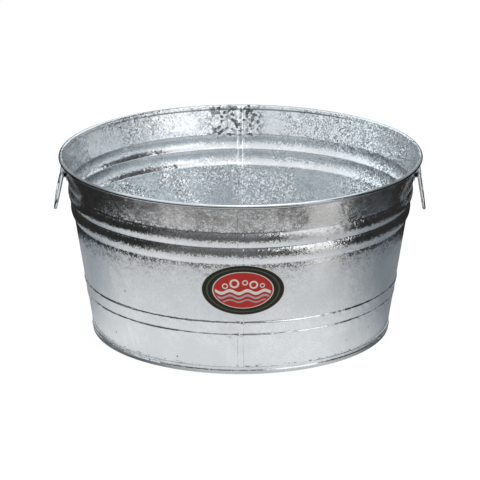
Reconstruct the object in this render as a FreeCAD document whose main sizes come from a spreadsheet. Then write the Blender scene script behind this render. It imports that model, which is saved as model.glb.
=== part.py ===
import FreeCAD, Part
import math
import os

import Sketcher

# A round, tapered wash tub of zinc-coated sheet steel, in millimetres.
# +Z is up, the floor is z = 0, the tub's axis is the Z axis, one side seam
# faces the viewer at -Y and the two drop handles are at +X and -X.

SIZES = (
    # alias, value, what it is
    ("rim_radius", 286.0, "outside of the rolled rim"),
    ("tub_height", 283.6, "floor to the top of the rolled rim"),
    ("wall_taper", 8.58, "lean of the wall, degrees from upright"),
    ("rim_flare", 3.486, "how far the rim stands out past the wall's own line"),
    ("sheet", 0.7, "wall sheet, as measured level"),
    ("rim_wire_radius", 2.4, "wire inside the rolled rim"),
    ("roll_gap", 0.05, "room between the rim wire and the sheet round it"),
    ("roll_turn", 310.0, "how far the sheet's edge turns round the rim wire, degrees"),
    ("upper_bead_drop", 47.8, "top of the rim down to the upper bead's top edge"),
    ("bead_valley_drop", 71.8, "top of the rim down to the line between the beads"),
    ("lower_bead_drop", 98.0, "top of the rim down to the lower bead's bottom edge"),
    ("bead_rise", 3.2, "how far each bead stands out"),
    ("upper_step_height", 89.0, "height of the upper step's top edge"),
    ("upper_step_rise", 1.5, "how far the upper step stands out"),
    ("lower_step_height", 68.5, "height of the lower step's top edge"),
    ("lower_step_rise", 0.9, "how far the lower step stands out"),
    ("step_drop", 2.2, "height of each step's ledge"),
    ("step_run", 16.0, "height over which a step falls back to the wall"),
    ("seam_width", 8.8, "width of the folded side seam"),
    ("seam_gap", 0.06, "room between the folds of a seam"),
    ("seam_foot", 17.0, "height where the folded strip starts"),
    ("seam_head_drop", 11.6, "top of the rim down to where the folded strip stops"),
    ("wall_foot", 1.1, "height of the wall's bottom edge inside the hem"),
    ("pan_sheet", 0.8, "bottom sheet"),
    ("hem_gap", 0.06, "room between the hem and the wall"),
    ("hem_height", 11.5, "height of the hem outside the wall"),
    ("hem_roll_height", 7.4, "height of the hem's fuller lower part"),
    ("hem_roll_rise", 0.4, "how far the lower part stands out past the upper"),
    ("pan_floor", 12.4, "height of the tub's inner floor"),
    ("pan_corner", 4.0, "outer radius where the floor turns down"),
    ("pivot_drop", 24.6, "top of the rim down to the handle's hinge line"),
    ("handle_wall_gap", 0.91, "room between the handle's wire and the wall at the hinge line"),
    ("handle_forward", 1.75, "degrees from the side diameter towards the front seam"),
    ("handle_wire_radius", 2.5, "handle wire"),
    ("handle_shoulder", 6.0, "end of the ear to where the wire turns down"),
    ("handle_drop", 52.5, "hinge line to the grip"),
    ("handle_flare", 20.5, "spread of each leg, degrees from straight down"),
    ("handle_elbow", 6.0, "bend radius beside the ear"),
    ("handle_corner", 14.0, "bend radius at the grip"),
    ("handle_end_gap", 3.0, "room between the wire's two ends inside the ear"),
    ("left_lean", 13.0, "left handle, degrees out from hanging straight"),
    ("right_lean", 10.0, "right handle, degrees out from hanging straight"),
    ("ear_half_length", 36.0, "half the ear, along the hinge line"),
    ("ear_half_height", 11.0, "half the ear's height"),
    ("ear_sheet", 1.5, "ear plate"),
    ("ear_bore_gap", 0.3, "room round the wire inside the ear"),
    ("ear_seat_gap", 0.05, "room between the ear's back and the wall"),
    ("label_width", 125.6, "oval label, as seen from the front"),
    ("label_height", 82.8, "oval label, as seen from the front"),
    ("label_centre_x", 3.6, "label centre, to the right of the seam"),
    ("label_centre_z", 141.9, "label centre, above the floor"),
    ("label_sheet", 0.3, "label thickness"),
    ("label_gap", 0.05, "room between the label and the wall"),
)

CUT_REACH = 60.0  # how far a cutting section reaches past what it cuts
DEGREES = 180 / math.pi
BEND_MIDDLE = 1 - math.cos(math.radians(45))  # a quarter bend's middle, in radii from its two lines


class Size:
    """A length or angle that knows both its value and its sheet formula."""

    def __init__(self, value, text):
        self.value = float(value)
        self.text = text

    @staticmethod
    def of(thing):
        if isinstance(thing, Size):
            return thing
        return Size(thing, repr(float(thing)))

    def __add__(self, other):
        other = Size.of(other)
        return Size(self.value + other.value, "(%s + %s)" % (self.text, other.text))

    def __sub__(self, other):
        other = Size.of(other)
        return Size(self.value - other.value, "(%s - %s)" % (self.text, other.text))

    def __mul__(self, other):
        other = Size.of(other)
        return Size(self.value * other.value, "(%s * %s)" % (self.text, other.text))

    def __truediv__(self, other):
        other = Size.of(other)
        return Size(self.value / other.value, "(%s / %s)" % (self.text, other.text))

    __radd__ = __add__
    __rmul__ = __mul__

    def __rsub__(self, other):
        return Size.of(other) - self

    def __neg__(self):
        return Size(-self.value, "(0 - %s)" % self.text)

    def tan(self):
        return Size(math.tan(math.radians(self.value)), "tan(%s deg)" % self.bare())

    def sin(self):
        return Size(math.sin(math.radians(self.value)), "sin(%s deg)" % self.bare())

    def cos(self):
        return Size(math.cos(math.radians(self.value)), "cos(%s deg)" % self.bare())

    def bare(self):
        """The formula in brackets, so that a unit can follow it."""
        return "(%s) * 1" % self.text


def make_sheet(doc):
    """Write the driving sizes as plain numbers with aliases."""
    sheet = doc.addObject("Spreadsheet::Sheet", "Sizes")
    for row, (alias, value, note) in enumerate(SIZES, start=1):
        sheet.set("A%d" % row, note)
        sheet.set("B%d" % row, repr(value))
        sheet.setAlias("B%d" % row, alias)
    doc.recompute()
    return sheet


doc = FreeCAD.newDocument("washing_tub")
sheet = make_sheet(doc)


def size(alias):
    return Size(getattr(sheet, alias), "Sizes.%s" % alias)


class Outline:
    """A closed or open run of lines and arcs in a half plane."""

    def __init__(self, across, up):
        self.points = [(Size.of(across), Size.of(up))]
        self.steps = []

    def line_to(self, across, up):
        self.points.append((Size.of(across), Size.of(up)))
        self.steps.append(None)

    def arc_to(self, across, up, through, centre_axis, centre):
        """An arc through a rough middle point, held by one centre coordinate."""
        self.points.append((Size.of(across), Size.of(up)))
        self.steps.append((through, centre_axis, Size.of(centre)))

    def close(self):
        self.steps.append(None)


def vector(across, up):
    return FreeCAD.Vector(Size.of(across).value, Size.of(up).value, 0)


def origin_plane(body, role):
    return [item for item in body.Origin.OriginFeatures if item.Role == role][0]


def attach(body, name, role):
    sketch = body.newObject("Sketcher::SketchObject", name)
    sketch.AttachmentSupport = [(origin_plane(body, role), "")]
    sketch.MapMode = "FlatFace"
    return sketch


def hold(sketch, kind, place, amount):
    """Add one dimension and bind it to the sheet."""
    number = sketch.addConstraint(Sketcher.Constraint(kind, *place, Size.of(amount).value))
    sketch.setExpression("Constraints[%d]" % number, Size.of(amount).text)


def draw(body, name, outline, role="XZ_Plane"):
    """Turn an outline into a sketch whose every point is held by the sheet."""
    sketch = attach(body, name, role)
    count = len(outline.points)
    ends = []
    for index, step in enumerate(outline.steps):
        first = vector(*outline.points[index])
        last = vector(*outline.points[(index + 1) % count])
        if step is None:
            sketch.addGeometry(Part.LineSegment(first, last), False)
            ends.append((1, 2))
            continue
        middle = vector(*step[0])
        sketch.addGeometry(Part.Arc(first, middle, last), False)
        turn = (middle - first).cross(last - middle).z
        ends.append((1, 2) if turn > 0 else (2, 1))
    joined = len(outline.steps) == count
    for index in range(len(outline.steps)):
        following = (index + 1) % len(outline.steps)
        if following or joined:
            place = (index, ends[index][1], following, ends[following][0])
            sketch.addConstraint(Sketcher.Constraint("Coincident", *place))
    for index, (across, up) in enumerate(outline.points):
        if index < len(outline.steps):
            place = (index, ends[index][0])
        else:
            place = (index - 1, ends[index - 1][1])
        hold(sketch, "DistanceX", place, across)
        hold(sketch, "DistanceY", place, up)
    for index, step in enumerate(outline.steps):
        if step is not None:
            hold(sketch, step[1], (index, 3), step[2])
    return sketch


def revolve(body, name, sketch, turn=360.0, start=None, middle=False, cut=False):
    """Turn a sketch about the tub's axis, from a start angle or both ways."""
    kind = "PartDesign::Groove" if cut else "PartDesign::Revolution"
    if start is not None:
        axis = FreeCAD.Vector(0, 1, 0)
        turned = FreeCAD.Rotation(axis, start.value)
        sketch.AttachmentOffset = FreeCAD.Placement(FreeCAD.Vector(), turned)
        sketch.setExpression("AttachmentOffset.Rotation.Angle", start.text)
    feature = body.newObject(kind, name)
    feature.Profile = sketch
    feature.ReferenceAxis = (sketch, ["V_Axis"])
    feature.Midplane = middle
    feature.Angle = Size.of(turn).value
    feature.setExpression("Angle", Size.of(turn).text)
    return feature


def new_body(label):
    body = doc.addObject("PartDesign::Body", label)
    body.Label = label
    return body


# Shared geometry of the wall

slope = size("wall_taper").tan()
sheet_gauge = size("sheet")
roll_inside = size("rim_wire_radius") + size("roll_gap")
roll_outside = roll_inside + sheet_gauge
roll_centre_r = size("rim_radius") - roll_outside
roll_centre_z = size("tub_height") - roll_outside
upper_bead_top = size("tub_height") - size("upper_bead_drop")
bead_valley = size("tub_height") - size("bead_valley_drop")
lower_bead_foot = size("tub_height") - size("lower_bead_drop")
band_head_r = roll_centre_r - roll_inside
base_radius = band_head_r - size("rim_flare") - slope * roll_centre_z


def wall_radius(height):
    """Outside of the plain tapered wall at a height below the beads."""
    return base_radius + slope * height


def band_radius(height):
    """Outside of the steeper band between the upper bead and the rim."""
    foot_r = wall_radius(upper_bead_top)
    band_slope = (band_head_r - foot_r) / (roll_centre_z - upper_bead_top)
    return foot_r + band_slope * (height - upper_bead_top)


pivot_height = size("tub_height") - size("pivot_drop")
pivot_radius = band_radius(pivot_height) + size("handle_wire_radius") + size("handle_wall_gap")


def bead_centre(low, high):
    """Radius at which the arc of a bead between two heights is centred."""
    half = (high - low) / 2
    rise = size("bead_rise")
    bend = (half * half + rise * rise) / (2 * rise)
    return wall_radius((low + high) / 2) + rise - bend


def wall_side(outline, inset, upward):
    """Draw one side of the wall's section, from the lower step to the upper bead."""
    heights = []
    radii = []
    for edge in ("lower_step", "upper_step"):
        top = size(edge + "_height")
        ledge = top - size("step_drop")
        back = ledge - size("step_run")
        heights += [back, ledge, top]
        radii += [wall_radius(back), wall_radius(ledge) + size(edge + "_rise"), wall_radius(top)]
    edges = [lower_bead_foot, bead_valley, upper_bead_top]
    heights += edges
    radii += [wall_radius(edge) for edge in edges]
    count = len(heights)
    # Each bead is an arc, filed under the number of its upper end.
    beads = {count - 2: edges[:2], count - 1: edges[1:]}
    for index in range(count) if upward else reversed(range(count)):
        bead = beads.get(index if upward else index + 1)
        across = radii[index] - inset
        if bead is None:
            outline.line_to(across, heights[index])
            continue
        middle = (bead[0] + bead[1]) / 2
        crest = (wall_radius(middle) + size("bead_rise") - inset, middle)
        outline.arc_to(across, heights[index], crest, "DistanceX", bead_centre(*bead) - inset)


def wall_layer(inset, depth, foot, head):
    """Closed section of a strip of wall, set in from the outer face."""
    outline = Outline(wall_radius(foot) - inset, foot)
    wall_side(outline, inset, True)
    outline.line_to(band_radius(head) - inset, head)
    outline.line_to(band_radius(head) - inset - depth, head)
    wall_side(outline, inset + depth, False)
    outline.line_to(wall_radius(foot) - inset - depth, foot)
    outline.close()
    return outline


def on_roll(radius, turn):
    """Point on the rolled rim, turned over the wire from the wall's side."""
    turn = Size.of(turn)
    return (roll_centre_r - radius * turn.cos(), roll_centre_z + radius * turn.sin())


def wall_and_roll():
    """Closed section of the wall sheet with its edge rolled round the wire."""
    foot = size("wall_foot")
    end = size("roll_turn")
    outline = Outline(wall_radius(foot), foot)
    wall_side(outline, Size.of(0), True)
    outline.line_to(band_head_r, roll_centre_z)
    over = ((roll_inside, 90, 180), (roll_inside, (end + 180) / 2, end))
    back = ((roll_outside, (end + 180) / 2, 180), (roll_outside, 90, 0))
    for radius, middle, stop in over:
        mark = on_roll(radius, middle)
        outline.arc_to(*on_roll(radius, stop), mark, "DistanceY", roll_centre_z)
    outline.line_to(*on_roll(roll_outside, end))
    for radius, middle, stop in back:
        mark = on_roll(radius, middle)
        outline.arc_to(*on_roll(radius, stop), mark, "DistanceY", roll_centre_z)
    wall_side(outline, sheet_gauge, False)
    outline.line_to(wall_radius(foot) - sheet_gauge, foot)
    outline.close()
    return outline


def make_wall_sheet(label, facing):
    """Half of the wall: one sheet with a fold of the lock seam at each edge."""
    body = new_body(label)
    mean_radius = wall_radius(size("tub_height") / 2)
    half_seam = size("seam_width") / 2 / mean_radius * DEGREES
    fold = sheet_gauge / mean_radius * DEGREES
    slack = size("seam_gap") / mean_radius * DEGREES
    pitch = sheet_gauge + size("seam_gap")
    front = -90 - half_seam
    back = 90 - half_seam
    skin = draw(body, label + "_skin", wall_and_roll())
    revolve(body, label + "_skin_turn", skin, back - front - slack, front)
    # Inset in layers, depth in layers, start angle and end angle of each fold.
    # At the front the sheet hooks inwards; at the back it steps in and hooks out.
    folds = (
        ("front_fold", 0, 2, front, front + fold),
        ("front_hook", 2, 0, front, -90 + half_seam - fold - slack),
        ("back_step", 0, 3, back - slack - fold, back - slack),
        ("back_cover", 3, 0, back - slack - fold, 90 + half_seam),
        ("back_fold", 1, 2, 90 + half_seam - fold, 90 + half_seam),
        ("back_hook", 1, 0, back + fold + slack, 90 + half_seam),
    )
    for name, layer, deeper, start, end in folds:
        section = wall_layer(
            pitch * layer,
            sheet_gauge + pitch * deeper,
            size("seam_foot"),
            size("tub_height") - size("seam_head_drop"),
        )
        sketch = draw(body, "%s_%s" % (label, name), section)
        revolve(body, "%s_%s_turn" % (label, name), sketch, end - start, start)
    turned = FreeCAD.Rotation(FreeCAD.Vector(0, 0, 1), facing)
    body.Placement = FreeCAD.Placement(FreeCAD.Vector(), turned)
    return body


def make_rim_wire():
    """Closed ring of wire that stiffens the rolled rim."""
    ring = doc.addObject("Part::Torus", "rim_wire")
    ring.Label = "rim_wire"
    ring.setExpression("Radius1", roll_centre_r.text)
    ring.setExpression("Radius2", size("rim_wire_radius").text)
    ring.setExpression("Placement.Base.z", roll_centre_z.text)
    return ring


def make_bottom_pan():
    """Bottom sheet, turned down inside the wall and hemmed up outside it."""
    body = new_body("bottom_pan")
    gauge = size("pan_sheet")
    gap = size("hem_gap")
    floor = size("pan_floor")
    corner = size("pan_corner")
    inside = sheet_gauge + gap

    def skirt(height):
        return wall_radius(height) - inside

    def hem(height):
        return wall_radius(height) + gap

    crown = size("hem_roll_height")
    swell = size("hem_roll_rise")
    outline = Outline(0, floor)
    top_edge = skirt(floor - corner)
    outline.line_to(top_edge - corner, floor)
    bend = (top_edge - corner * BEND_MIDDLE, floor - corner * BEND_MIDDLE)
    outline.arc_to(top_edge, floor - corner, bend, "DistanceY", floor - corner)
    outline.line_to(skirt(gauge), gauge)
    outline.line_to(hem(gauge), gauge)
    outline.line_to(hem(size("hem_height")), size("hem_height"))
    outline.line_to(hem(size("hem_height")) + gauge, size("hem_height"))
    outline.line_to(hem(crown) + gauge, crown)
    outline.line_to(hem(crown) + gauge + swell, crown - swell)
    outline.line_to(hem(swell) + gauge + swell, swell)
    outline.line_to(hem(Size.of(0)) + gauge, 0)
    outline.line_to(skirt(Size.of(0)) - gauge, 0)
    outline.line_to(top_edge - gauge, floor - corner)
    inner = corner - gauge
    bend = (top_edge - gauge - inner * BEND_MIDDLE, floor - gauge - inner * BEND_MIDDLE)
    outline.arc_to(top_edge - corner, floor - gauge, bend, "DistanceY", floor - corner)
    outline.line_to(0, floor - gauge)
    outline.close()
    revolve(body, "bottom_pan_turn", draw(body, "bottom_pan_section", outline))
    return body


def turned_to_side(side):
    """Turn from +X to the place of the handle at +X or -X, near the side diameter."""
    forward = size("handle_forward").value
    return FreeCAD.Rotation(FreeCAD.Vector(0, 0, 1), -forward if side > 0 else 180 + forward)


def tunnel_outline(radius, reach):
    """Arch that bows outwards over the hinge line and runs back to the wall."""
    outline = Outline(pivot_radius - reach, pivot_height - radius)
    outline.line_to(pivot_radius, pivot_height - radius)
    nose = (pivot_radius + radius, pivot_height)
    outline.arc_to(pivot_radius, pivot_height + radius, nose, "DistanceX", pivot_radius)
    outline.line_to(pivot_radius - reach, pivot_height + radius)
    outline.close()
    return outline


def push(body, kind, name, sketch, length):
    """Pad or pocket a sketch evenly to both sides of its plane."""
    feature = body.newObject(kind, name)
    feature.Profile = sketch
    feature.Midplane = True
    feature.Length = Size.of(length).value
    feature.setExpression("Length", Size.of(length).text)
    return feature


def make_ear(label, side):
    """Pressed plate on the wall, with a tunnel that holds the handle's wire."""
    body = new_body(label)
    half = size("ear_half_height")
    low = pivot_height - half
    high = pivot_height + half
    seat = size("ear_seat_gap")
    plate = size("ear_sheet")
    bore = size("handle_wire_radius") + size("ear_bore_gap")
    length = size("ear_half_length") * 2
    spread = length / pivot_radius * DEGREES
    outline = Outline(band_radius(low) + seat, low)
    outline.line_to(band_radius(low) + seat + plate, low)
    outline.line_to(band_radius(high) + seat + plate, high)
    outline.line_to(band_radius(high) + seat, high)
    outline.close()
    flange = draw(body, label + "_flange", outline)
    revolve(body, label + "_flange_turn", flange, spread, middle=True)
    reach = bore * 2
    arch = draw(body, label + "_arch", tunnel_outline(bore + plate, reach))
    push(body, "PartDesign::Pad", label + "_arch_pad", arch, length)
    # The wall's own shape is cleared from behind the plate and the arch.
    behind = Outline(band_radius(low) + seat - CUT_REACH, low)
    behind.line_to(band_radius(low) + seat, low)
    behind.line_to(band_radius(high) + seat, high)
    behind.line_to(band_radius(high) + seat - CUT_REACH, high)
    behind.close()
    back = draw(body, label + "_back", behind)
    revolve(body, label + "_back_cut", back, cut=True)
    wire_way = draw(body, label + "_way", tunnel_outline(bore, reach + plate))
    push(body, "PartDesign::Pocket", label + "_way_cut", wire_way, length * 2)
    body.Placement = FreeCAD.Placement(FreeCAD.Vector(), turned_to_side(side))
    return body


def handle_outline():
    """Centre line of the bent handle wire, hanging from its hinge line."""
    top = size("ear_half_length") + size("handle_shoulder")
    drop = size("handle_drop")
    flare = size("handle_flare")
    grip = top + drop * flare.tan()
    elbow = size("handle_elbow")
    corner = size("handle_corner")
    elbow_reach = elbow * ((90 - flare) / 2).tan()
    corner_reach = corner * ((90 + flare) / 2).tan()
    elbow_centre = (top - elbow_reach, -elbow)
    corner_centre = (grip - corner_reach, corner - drop)
    end = (size("handle_end_gap") / 2, Size.of(0))
    leg_top = (top + elbow_reach * flare.sin(), -(elbow_reach * flare.cos()))
    leg_foot = (grip - corner_reach * flare.sin(), corner_reach * flare.cos() - drop)

    def mark(centre, radius, angle):
        """Middle of a bend on the right-hand half of the wire."""
        return (centre[0] + radius * angle.cos(), centre[1] + radius * angle.sin())

    elbow_mark = mark(elbow_centre, elbow, (90 + flare) / 2)
    corner_mark = mark(corner_centre, corner, (flare - 90) / 2)
    outline = Outline(*end)
    outline.line_to(elbow_centre[0], 0)
    outline.arc_to(*leg_top, elbow_mark, "DistanceY", elbow_centre[1])
    outline.line_to(*leg_foot)
    outline.arc_to(corner_centre[0], -drop, corner_mark, "DistanceY", corner_centre[1])
    outline.line_to(-corner_centre[0], -drop)
    left_mark = (-corner_mark[0], corner_mark[1])
    outline.arc_to(-leg_foot[0], leg_foot[1], left_mark, "DistanceY", corner_centre[1])
    outline.line_to(-leg_top[0], leg_top[1])
    left_mark = (-elbow_mark[0], elbow_mark[1])
    outline.arc_to(-elbow_centre[0], 0, left_mark, "DistanceY", elbow_centre[1])
    outline.line_to(-end[0], 0)
    return outline


def make_handle(label, side, lean):
    """Bent wire that swings in its ear."""
    body = new_body(label)
    path = draw(body, label + "_path", handle_outline(), "YZ_Plane")
    profile = attach(body, label + "_wire", "XZ_Plane")
    profile.addGeometry(Part.Circle(FreeCAD.Vector(), FreeCAD.Vector(0, 0, 1), 1), False)
    profile.addConstraint(Sketcher.Constraint("Coincident", 0, 3, -1, 1))
    hold(profile, "Radius", (0,), size("handle_wire_radius"))
    start = size("handle_end_gap") / 2
    profile.AttachmentOffset = FreeCAD.Placement(
        FreeCAD.Vector(0, 0, -start.value), FreeCAD.Rotation()
    )
    profile.setExpression("AttachmentOffset.Base.z", (-start).text)
    doc.recompute()
    pipe = body.newObject("PartDesign::AdditivePipe", label + "_pipe")
    pipe.Profile = profile
    pipe.Spine = (path, [])
    around = turned_to_side(side)
    arm = FreeCAD.Vector(pivot_radius.value, 0, pivot_height.value)
    tilt = FreeCAD.Rotation(FreeCAD.Vector(0, 1, 0), -lean.value)
    body.Placement = FreeCAD.Placement(around.multVec(arm), around.multiply(tilt))
    return body


def make_front_label():
    """Oval paper label, bent to the wall over the front seam."""
    body = new_body("front_label")
    oval = attach(body, "front_label_oval", "XZ_Plane")
    centre = vector(size("label_centre_x"), size("label_centre_z"))
    ellipse = Part.Ellipse(
        centre + vector(size("label_width") / 2, 0),
        centre + vector(0, size("label_height") / 2),
        centre,
    )
    oval.addGeometry(ellipse, False)
    oval.exposeInternalGeometry(0)
    oval.addConstraint(Sketcher.Constraint("Horizontal", 1))
    hold(oval, "DistanceX", (0, 3), size("label_centre_x"))
    hold(oval, "DistanceY", (0, 3), size("label_centre_z"))
    hold(oval, "Distance", (1,), size("label_width"))
    hold(oval, "Distance", (2,), size("label_height"))
    pad = body.newObject("PartDesign::Pad", "front_label_pad")
    pad.Profile = oval
    pad.Length = size("rim_radius").value
    pad.setExpression("Length", size("rim_radius").text)
    back = size("label_gap")
    face = back + size("label_sheet")
    low = size("label_centre_z") - size("label_height")
    high = size("label_centre_z") + size("label_height")
    inside = Outline(0, low)
    inside.line_to(wall_radius(low) + back, low)
    inside.line_to(wall_radius(high) + back, high)
    inside.line_to(0, high)
    inside.close()
    core = draw(body, "front_label_inside", inside)
    revolve(body, "front_label_inside_cut", core, cut=True)
    beyond = size("rim_radius") * 2
    outside = Outline(wall_radius(low) + face, low)
    outside.line_to(beyond, low)
    outside.line_to(beyond, high)
    outside.line_to(wall_radius(high) + face, high)
    outside.close()
    shell = draw(body, "front_label_outside", outside)
    revolve(body, "front_label_outside_cut", shell, cut=True)
    return body


def check(parts):
    """Stop if any object failed or any piece is not one sound solid."""
    for item in doc.Objects:
        for word in ("Invalid", "Error"):
            if word in item.State:
                raise ValueError("%s is %s" % (item.Name, word))
    for part in parts:
        shape = part.Shape
        if shape.isNull() or not shape.isValid() or len(shape.Solids) != 1:
            raise ValueError("%s has %d solids" % (part.Label, len(shape.Solids)))


def build():
    parts = [
        make_wall_sheet("right_wall_sheet", 0),
        make_wall_sheet("left_wall_sheet", 180),
        make_rim_wire(),
        make_bottom_pan(),
        make_ear("right_ear", 1),
        make_ear("left_ear", -1),
        make_handle("right_handle", 1, size("right_lean")),
        make_handle("left_handle", -1, size("left_lean")),
        make_front_label(),
    ]
    doc.recompute()
    check(parts)
    os.makedirs("parts", exist_ok=True)
    for part in parts:
        part.Shape.exportStep("parts/%s.step" % part.Label)
        box = part.Shape.BoundBox
        print("%-18s %9.1f mm3  z %.2f to %.2f" % (part.Label, part.Shape.Volume, box.ZMin, box.ZMax))


build()
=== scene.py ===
"""A round wash tub of zinc-coated sheet steel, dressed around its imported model.

The tub's axis is Z, the floor is z = 0, one side seam and the oval label face -Y,
and the two drop handles hang at +X and -X. Sizes are in millimetres until a mesh is made.
"""

import logging
import math
from dataclasses import dataclass
from enum import Enum
from functools import cached_property

import bmesh
import bpy
import numpy as np
from mathutils import Matrix, Vector


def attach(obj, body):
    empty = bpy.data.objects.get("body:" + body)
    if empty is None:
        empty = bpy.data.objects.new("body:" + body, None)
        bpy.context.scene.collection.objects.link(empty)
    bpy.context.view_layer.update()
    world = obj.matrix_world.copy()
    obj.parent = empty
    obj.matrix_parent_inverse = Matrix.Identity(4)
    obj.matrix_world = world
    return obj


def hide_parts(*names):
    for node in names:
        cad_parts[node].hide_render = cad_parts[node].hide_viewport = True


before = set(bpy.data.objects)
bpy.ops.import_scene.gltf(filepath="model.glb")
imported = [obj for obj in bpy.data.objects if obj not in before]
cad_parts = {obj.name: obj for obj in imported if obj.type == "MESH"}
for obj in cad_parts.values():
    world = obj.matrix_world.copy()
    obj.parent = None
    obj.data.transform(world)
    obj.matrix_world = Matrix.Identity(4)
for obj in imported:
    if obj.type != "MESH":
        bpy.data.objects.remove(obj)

MM = 0.001
FRONT = -90.0
BACK = 90.0
log = logging.getLogger("wash_tub")

Colour = tuple[float, float, float]
Material = bpy.types.Material
Node = bpy.types.Node
Socket = bpy.types.NodeSocket


class Slot(Enum):
    """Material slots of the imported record."""

    SHEET = "galvanised_sheet"
    WIRE = "galvanised_wire"
    BOTTOM = "galvanised_bottom"
    EAR = "galvanised_ear"
    HANDLE = "galvanised_handle"
    LABEL = "printed_label"


class Side(Enum):
    """The two sides that carry a handle."""

    RIGHT = 1
    LEFT = -1

    @property
    def word(self) -> str:
        """Lower-case name, as the nodes use it."""
        return self.name.lower()


# Mesh making


def ladder(loops: np.ndarray, ring: bool, ends: bool = True) -> np.ndarray:
    """Quads over a run of closed loops whose two halves face each other.

    Args:
        loops: steps x points x 3, where point i of a loop faces point -1 - i.
        ring: whether the last loop joins the first.
        ends: whether the first and last loops are closed over.

    Returns:
        Faces as rows of four point numbers.
    """
    steps, count = loops.shape[:2]
    index = np.arange(steps * count).reshape(steps, count)
    here = index if ring else index[:-1]
    there = np.roll(index, -1, axis=0) if ring else index[1:]
    sides = np.stack([here, np.roll(here, -1, 1), np.roll(there, -1, 1), there], -1)
    faces = [sides.reshape(-1, 4)]
    if ends and not ring:
        half = count // 2
        low = np.arange(half - 1)
        cap = np.stack([low, low + 1, count - 2 - low, count - 1 - low], -1)
        faces += [index[0][cap], index[-1][cap]]
    return np.concatenate(faces)


def disc_faces(loops: np.ndarray) -> list[list[int]]:
    """Faces of a round piece from its sections, with two discs over the open middle.

    The last edge of each section would cross the middle, so the discs close it instead.

    Args:
        loops: steps x points x 3, each loop from the middle out and back.

    Returns:
        Rows of point numbers.
    """
    steps, count = loops.shape[:2]
    faces = ladder(loops, ring=True)
    index = np.arange(steps * count).reshape(steps, count)
    crossing = np.isin(faces, index[:, -1]).any(1) & np.isin(faces, index[:, 0]).any(1)
    return [*faces[~crossing].tolist(), index[:, 0].tolist(), index[:, -1].tolist()]


def put(name: str, data: bpy.types.ID) -> bpy.types.Object:
    """Add a new object to the scene."""
    thing = bpy.data.objects.new(name, data)
    bpy.context.scene.collection.objects.link(thing)
    return thing


def aim(thing: bpy.types.Object, place: tuple, target: tuple) -> None:
    """Set an object at a place, facing a target."""
    thing.location = place
    thing.rotation_mode = "QUATERNION"
    thing.rotation_quaternion = (Vector(target) - Vector(place)).to_track_quat("-Z", "Y")


class Shell:
    """Points and faces of one piece, gathered from several closed shapes."""

    def __init__(self) -> None:
        """Start with nothing."""
        self.points: list[np.ndarray] = []
        self.faces: list[tuple[int, ...]] = []
        self.count = 0

    def add(self, points: np.ndarray, faces: list | np.ndarray) -> None:
        """Add one shape.

        Args:
            points: any array whose last axis is x, y, z in millimetres.
            faces: rows of point numbers within this shape.
        """
        flat = points.reshape(-1, 3)
        self.points.append(flat)
        self.faces += [tuple(int(i) + self.count for i in face) for face in faces]
        self.count += len(flat)

    def build(self, name: str, crease: float = 40.0) -> bpy.types.Object:
        """Make the mesh object.

        Args:
            name: name of the piece.
            crease: edges that turn more than this many degrees stay sharp.

        Returns:
            The new object, at the origin.
        """
        mesh = bpy.data.meshes.new(name)
        mesh.from_pydata((np.concatenate(self.points) * MM).tolist(), [], self.faces)
        work = bmesh.new()
        work.from_mesh(mesh)
        bmesh.ops.recalc_face_normals(work, faces=work.faces)
        work.to_mesh(mesh)
        work.free()
        mesh.shade_smooth()
        mesh.set_sharp_from_angle(angle=math.radians(crease))
        return put(name, mesh)


def round_corners(path: list[tuple[float, float]], bend: float, steps: int = 5) -> np.ndarray:
    """Round the inner corners of a path of straight runs.

    Args:
        path: the corners, ends included.
        bend: radius of each bend, cut down where a run is short.
        steps: points per bend, less one.

    Returns:
        Points along the rounded path.
    """
    marks = [np.array(point, float) for point in path]
    rounded = [marks[0]]
    for before, corner, after in zip(marks, marks[1:], marks[2:]):
        back = before - corner
        ahead = after - corner
        room = min(np.linalg.norm(back), np.linalg.norm(ahead)) * 0.48
        back = back / np.linalg.norm(back)
        ahead = ahead / np.linalg.norm(ahead)
        half = math.acos(float(np.clip(back @ ahead, -1, 1))) / 2
        reach = min(bend / math.tan(half), room)
        radius = reach * math.tan(half)
        middle = back + ahead
        centre = corner + middle / np.linalg.norm(middle) * math.hypot(reach, radius)
        start = corner + back * reach - centre
        turn = math.pi - 2 * half
        side = back[1] * ahead[0] - back[0] * ahead[1]
        for step in range(steps + 1):
            angle = math.copysign(turn * step / steps, side)
            cosine, sine = math.cos(angle), math.sin(angle)
            spoke = (start[0] * cosine - start[1] * sine, start[0] * sine + start[1] * cosine)
            rounded.append(centre + spoke)
    rounded.append(marks[-1])
    return np.array(rounded)


def thicken(path: np.ndarray, half: float) -> np.ndarray:
    """Closed loop round a path: one side out, the other side back.

    Args:
        path: points x 2.
        half: half the sheet's thickness.

    Returns:
        Twice as many points x 2.
    """
    run = np.gradient(path, axis=0)
    run /= np.linalg.norm(run, axis=1, keepdims=True)
    across = np.stack([-run[:, 1], run[:, 0]], -1) * half
    return np.concatenate([path + across, (path - across)[::-1]])


def on_circle(azimuth: np.ndarray, radius: np.ndarray, height: np.ndarray) -> np.ndarray:
    """Points from azimuth in degrees, radius and height."""
    angle = np.radians(azimuth)
    spread = np.broadcast_arrays(radius * np.cos(angle), radius * np.sin(angle), height)
    return np.stack(spread, -1)


def smooth_step(value: np.ndarray, low: float, high: float) -> np.ndarray:
    """Ease from 0 at low to 1 at high."""
    share = np.clip((value - low) / (high - low), 0, 1)
    return share * share * (3 - 2 * share)


# The wall's form


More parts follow.
